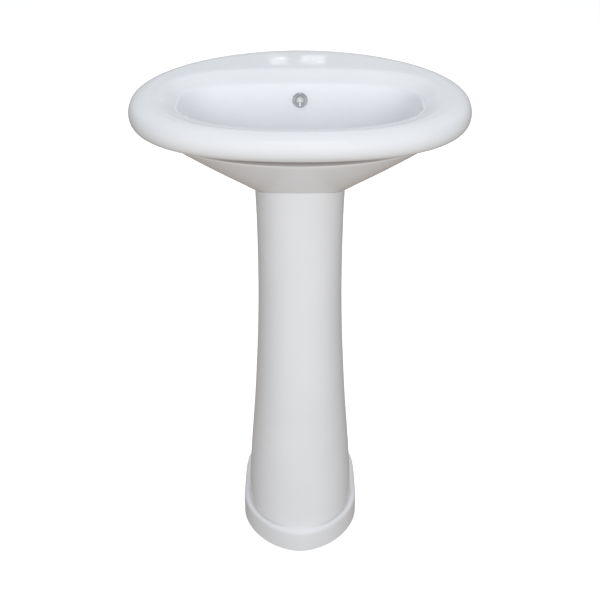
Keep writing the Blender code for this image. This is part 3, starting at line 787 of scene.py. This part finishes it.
# ---------------------------------------------------------------- overflow ring
def build_overflow_ring(surface):
    """A chrome bezel in the overflow hole, round a white dished face with drain holes."""
    outer, sleeve, bore = 0.0135, 0.0100, 0.0088
    drains, drain_r, drain_circle_r, dished_r = 6, 0.0009, 0.0042, 0.0060
    profile = [
        (0, -0.0004), (0.0056, 0.0000), (0.0072, 0.0012), (0.0096, 0.0030), (0.0122, 0.0022),
        (outer, 0.0003), (sleeve, 0.0003), (sleeve, -0.0100), (bore, -0.0100), (bore, -0.0020),
        (0, -0.0020),
    ]
    placed = OverflowAxis(surface).matrix(-0.0010)
    ring = lathe("overflow_trim", rounded(profile, 0.0008, False), CHROME, placed, closed=False)
    cutters = []
    for number in range(drains):
        angle = 2 * math.pi * number / drains
        x, y = drain_circle_r * math.cos(angle), drain_circle_r * math.sin(angle)
        ends = [placed @ Vector((x, y, -0.005)), placed @ Vector((x, y, 0.005))]
        cutters.append(rod(f"overflow_drain_cut_{number}", *ends, drain_r, CHROME, sides=24))
    combine(ring, cutters, "DIFFERENCE")
    to_local = placed.inverted()
    paint(ring, PLASTIC, lambda face: (to_local @ face.center).xy.length < dished_r)
    finish_piece(ring, "overflow_ring")


# ---------------------------------------------------------------- fittings turned from their nodes
def upright():
    """The axis that the waste and the trap share."""
    return Matrix.Translation((0, DRAIN_Y, 0))


def along_outlet():
    """The outlet tube's axis, from the trap towards the wall."""
    return Matrix.Translation((0, 0, OUTLET_Z)) @ Matrix.Rotation(-math.pi / 2, 4, "X")


def profile_of(node, placed, near=0.00004):
    """The outline of a turned CAD node about the local Z of the matrix placed: (radius,
    height) points in order, and whether it closes on itself."""
    mesh = frame["nodes"][node].data
    back = placed.inverted()
    corners = []
    corner_of = []
    angles = []
    for vertex in mesh.vertices:
        x, y, height = back @ vertex.co
        point = Vector((math.hypot(x, y), height))
        match = next((i for i, known in enumerate(corners) if (known - point).length < near), None)
        if match is None:
            match = len(corners)
            corners.append(point)
        corner_of.append(match)
        angles.append(math.atan2(y, x))
    beside = {i: set() for i in range(len(corners))}
    for edge in mesh.edges:
        a, b = edge.vertices
        first, second = corner_of[a], corner_of[b]
        on_axis = min(corners[first].x, corners[second].x) < near
        in_line = abs(angles[a] - angles[b]) < 0.01
        if first != second and (on_axis or in_line):
            beside[first].add(second)
            beside[second].add(first)
    ends = [i for i in beside if len(beside[i]) == 1]
    start = max(ends, key=lambda i: corners[i].y) if ends else 0
    path = [start, min(beside[start])]
    while True:
        onward = [i for i in beside[path[-1]] if i != path[-2]]
        if len(onward) > 1:
            raise ValueError(f"{node} isn't a plain turned solid at {corners[path[-1]]}")
        if not onward or onward[0] == start:
            break
        path.append(onward[0])
    return [tuple(corners[i]) for i in path], not ends


def ribbed(inner, outer, count, depth):
    """A shape with so many grip ribs where a profile lies between two radii."""

    def shape(radius, height, angle):
        if not inner < radius < outer:
            return radius
        return radius - depth * (0.5 - 0.5 * math.cos(angle * count)) ** 2

    return shape


def build_turned(node, material, placed, radius=0.0005, steps=LATHE_STEPS, shape=None):
    profile, closed = profile_of(node, placed)
    profile = rounded(profile, radius, closed)
    piece = lathe(f"{node}_turned", profile, material, placed, closed, steps, shape)
    return finish_piece(piece, node)


def build_turned_fittings():
    grip = ribbed(0.0255, 0.0275, 24, 0.0009)
    cup_grip = ribbed(0.0325, 0.0345, 30, 0.0010)
    upright_fittings = [
        ("flange_seal", RUBBER), ("tapered_washer", RUBBER), ("friction_washer", PLASTIC),
        ("cartridge_sleeve", BRASS), ("cartridge_end", BRASS), ("plug_cap", CHROME),
        ("plug_seal", RUBBER), ("plug_stem", BRASS), ("inlet_washer", RUBBER),
        ("inlet_tube", PLASTIC), ("neck_washer", RUBBER), ("cup_seal", RUBBER),
    ]
    for node, material in upright_fittings:
        build_turned(node, material, upright())
    for node in ("inlet_nut", "neck_nut"):
        build_turned(node, PLASTIC, upright(), 0.0008, RIBBED_STEPS, grip)
    build_turned("trap_cup", PLASTIC, upright(), 0.0010, RIBBED_STEPS, cup_grip)
    for node, material in (("outlet_washer", RUBBER), ("outlet_tube", PLASTIC), ("wall_rose", CHROME)):
        build_turned(node, material, along_outlet())
    build_turned("outlet_nut", PLASTIC, along_outlet(), 0.0008, RIBBED_STEPS, grip)


# ---------------------------------------------------------------- waste
def threaded(radius, top, bottom, pitch=0.00231, depth=0.0008):
    """Points down a threaded wall, a ridge for each turn."""
    turns = int((top - bottom) / pitch)
    points = []
    for turn in range(turns):
        height = top - turn * pitch
        points += [
            (radius - depth, height), (radius, height - 0.40 * pitch),
            (radius, height - 0.60 * pitch), (radius - depth, height - pitch),
        ]
    return [point for i, point in enumerate(points) if i == 0 or point != points[i - 1]]


def bridge(bore):
    """The hub that holds the cartridge, and the three arms that hold the hub in the bore."""
    low, high, inner, outer = 0.628, 0.634, 0.0098, 0.0125
    outline = [(outer, high), (outer, low), (inner, low), (inner, high)]
    pieces = [lathe("bridge_hub", outline, CHROME, upright(), steps=48)]
    for number in range(3):
        angle = math.radians(90 + 120 * number)
        direction = Vector((math.cos(angle), math.sin(angle), 0))
        middle = Vector((0, DRAIN_Y, (low + high) / 2))
        ends = [middle + direction * 0.0110, middle + direction * (bore + 0.0008)]
        pieces.append(rod(f"bridge_arm_{number}", *ends, 0.0018, CHROME, sides=16))
    return pieces


def build_waste_body():
    """The dished flange and its threaded tube, with the bridge that holds the cartridge."""
    flange_r = waste_high.x
    top = waste_high.z - 0.0026
    tube_r, bore = 0.0209, 0.0185
    flange = [
        (0.0265, top + 0.0018), (flange_r - 0.0015, top + 0.0026), (flange_r, top + 0.0012),
        (flange_r - 0.0010, top), (tube_r, top),
    ]
    inside = [(bore, WASTE_BOTTOM_Z), (bore, top - 0.0020), (0.0215, top + 0.0008)]
    wall = threaded(tube_r, LAND_Z - 0.0050, WASTE_BOTTOM_Z + 0.0010)
    profile = rounded(flange, 0.0006, False) + [(tube_r, LAND_Z - 0.0040)] + wall
    profile += [(tube_r - 0.0008, WASTE_BOTTOM_Z)] + inside
    body = lathe("waste_flange_and_tube", profile, CHROME, upright())
    combine(body, bridge(bore), "UNION")
    low = (-0.008, DRAIN_Y - 0.03, 0.6545)
    high = (0.008, DRAIN_Y + 0.03, 0.6665)
    combine(body, [rounded_box("overflow_window_cut", low, high, 0.003, CHROME)], "DIFFERENCE")
    finish_piece(body, "waste_body")


def build_backnut():
    """A chamfered hexagonal nut with a plain bore."""
    low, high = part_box("waste_backnut")
    flat = (high.y - low.y) / 2
    corner = flat / math.cos(math.pi / 6)
    crown = flat * 1.01
    bore = 0.0213

    def shape(radius, height, angle):
        if radius <= bore:
            return radius
        in_flat = (angle + math.pi / 2) % (math.pi / 3) - math.pi / 6
        edge = flat / math.cos(in_flat)
        return min(edge, crown) if radius < corner else edge

    chamfer = (corner - crown) * math.tan(math.radians(30))
    profile = [
        (crown, high.z), (corner, high.z - chamfer), (corner, low.z + chamfer), (crown, low.z),
        (bore, low.z), (bore, high.z),
    ]
    nut = lathe("waste_backnut_hexagon", profile, BRASS, upright(), steps=RIBBED_STEPS, shape=shape)
    finish_piece(nut, "waste_backnut")


def build_spring():
    """The cartridge's spring, four turns of one even pitch."""
    low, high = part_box("cartridge_spring")
    wire_r, coil_r, turns, around, wire_sides = 0.0005, 0.0056, 4, 40, 12
    bm = bmesh.new()
    rings = []
    count = turns * around
    for i in range(count + 1):
        angle = 2 * math.pi * i / around
        share = i / count
        height = low.z + wire_r + (high.z - low.z - 2 * wire_r) * share
        outward = Vector((math.cos(angle), math.sin(angle), 0))
        middle = outward * coil_r + Vector((0, DRAIN_Y, height))
        ring = []
        for side in range(wire_sides):
            turn = 2 * math.pi * side / wire_sides
            upward = Vector((0, 0, wire_r * math.sin(turn)))
            ring.append(bm.verts.new(middle + outward * wire_r * math.cos(turn) + upward))
        rings.append(ring)
    for lower, upper in zip(rings, rings[1:]):
        for side in range(wire_sides):
            after = (side + 1) % wire_sides
            bm.faces.new((lower[side], lower[after], upper[after], upper[side]))
    bm.faces.new(rings[0])
    bm.faces.new(rings[-1])
    finish_piece(smooth(object_from(bm, "cartridge_spring_wire", STEEL)), "cartridge_spring")


# ---------------------------------------------------------------- bottle trap
def along_branch(name, start_y, end_y, radius):
    return rod(name, (0, start_y, OUTLET_Z), (0, end_y, OUTLET_Z), radius, PLASTIC, LATHE_STEPS)


def build_trap_body():
    """The trap's bottle, with the branch that the outlet tube enters."""
    neck_top, bottom = trap_high.z, trap_low.z
    shoulder = neck_top - 0.0150
    rest = bottom + 0.0150
    bore = 0.0168
    profile = [
        (0.0200, neck_top), (0.0200, shoulder), (0.0270, shoulder),
        (0.0300, shoulder - 0.0030), (0.0300, rest + 0.0020), (0.0284, rest), (0.0284, bottom),
        (0.0262, bottom), (0.0262, shoulder - 0.0040), (bore, shoulder - 0.0040), (bore, neck_top),
    ]
    body = lathe("trap_bottle", rounded(profile, 0.0010, True), PLASTIC, upright())
    root, end = DRAIN_Y + 0.0250, trap_high.y
    branch = along_branch("branch", root, end, 0.0200)
    collar = along_branch("branch_collar", root, DRAIN_Y + 0.0325, 0.0220)
    way_out = along_branch("branch_bore_cut", DRAIN_Y + 0.0180, end + 0.01, bore)
    combine(body, [branch, collar], "UNION")
    combine(body, [way_out], "DIFFERENCE")
    finish_piece(body, "trap_body")


# ---------------------------------------------------------------- studio
def build_floor():
    """A large floor that is left out of mirrored and bounced light."""
    bm = bmesh.new()
    bmesh.ops.create_grid(bm, x_segments=8, y_segments=8, size=30)
    floor = object_from(bm, "studio_floor", pale_floor())
    floor.visible_diffuse = False
    floor.visible_glossy = False


def softbox(name, location, target, width, height, power, colour=(1, 1, 1), mirrored=True):
    """A soft rectangular light that faces a target and isn't itself in view. One that isn't
    mirrored lights the sink without a reflection of its own."""
    light = bpy.data.lights.new(name, "AREA")
    light.shape = "RECTANGLE"
    light.size = width
    light.size_y = height
    light.energy = power
    light.color = colour
    lamp = bpy.data.objects.new(name, light)
    lamp.location = location
    lamp.rotation_euler = (Vector(target) - Vector(location)).to_track_quat("-Z", "Y").to_euler()
    lamp.visible_camera = False
    lamp.visible_glossy = mirrored
    bpy.context.scene.collection.objects.link(lamp)


def build_world():
    """A soft surround: cool light from above the horizon, and less, warmer light from below."""
    world = bpy.data.worlds.new("soft_surround")
    world.use_nodes = True
    nodes = world.node_tree.nodes
    links = world.node_tree.links
    horizon = 0.35  # how far above and below level the two tones blend
    direction = nodes.new("ShaderNodeTexCoord")
    parts = nodes.new("ShaderNodeSeparateXYZ")
    links.new(direction.outputs["Generated"], parts.inputs["Vector"])
    height = nodes.new("ShaderNodeMapRange")
    height.inputs["From Min"].default_value = -horizon
    height.inputs["From Max"].default_value = horizon
    links.new(parts.outputs["Z"], height.inputs["Value"])
    ramp = nodes.new("ShaderNodeValToRGB")
    ramp.color_ramp.elements[0].color = (0.35, 0.32, 0.29, 1.0)
    ramp.color_ramp.elements[1].color = (0.48, 0.50, 0.53, 1.0)
    links.new(height.outputs["Result"], ramp.inputs["Fac"])
    links.new(ramp.outputs["Color"], nodes["Background"].inputs["Color"])
    bpy.context.scene.world = world


def build_studio():
    """A broad key in front, a light behind, and three lights that the glaze mirrors."""
    build_world()
    bpy.context.scene.view_settings.view_transform = "Standard"
    middle = (0, 0, SINK_HEIGHT * 0.7)
    deck = (0, 0.15, SINK_HEIGHT)
    daylight = (0.97, 0.985, 1.0)
    softbox("front_key", (0.2, -2.95, 1.70), middle, 2.6, 1.2, 54, daylight, mirrored=False)
    softbox("back_light", (0, 2.2, 3.0), middle, 2.4, 1.6, 36, mirrored=False)
    softbox("overhead_glow", (0.05, -1.6, 3.4), middle, 1.2, 1.2, 4)
    softbox("left_window", (-0.085, 2.65, 1.64), deck, 0.07, 0.035, 0.018)
    softbox("right_window", (0.050, 2.65, 1.64), deck, 0.09, 0.035, 0.022)


def build_camera():
    """Looks down on the sink from in front of its middle."""
    camera = bpy.data.cameras.new("camera")
    camera.lens = 72
    camera.sensor_width = 36
    holder = bpy.data.objects.new("camera", camera)
    distance, height, pitch = 1.902, 1.499, 28.85
    holder.location = (0, -distance, height)
    holder.rotation_euler = (math.radians(90 - pitch), 0, 0)
    bpy.context.scene.collection.objects.link(holder)
    bpy.context.scene.camera = holder


basin_surface = build_basin()
build_pedestal(basin_surface)
build_overflow_ring(basin_surface)
build_turned_fittings()
build_waste_body()
build_backnut()
build_spring()
build_trap_body()
build_floor()
build_studio()
build_camera()
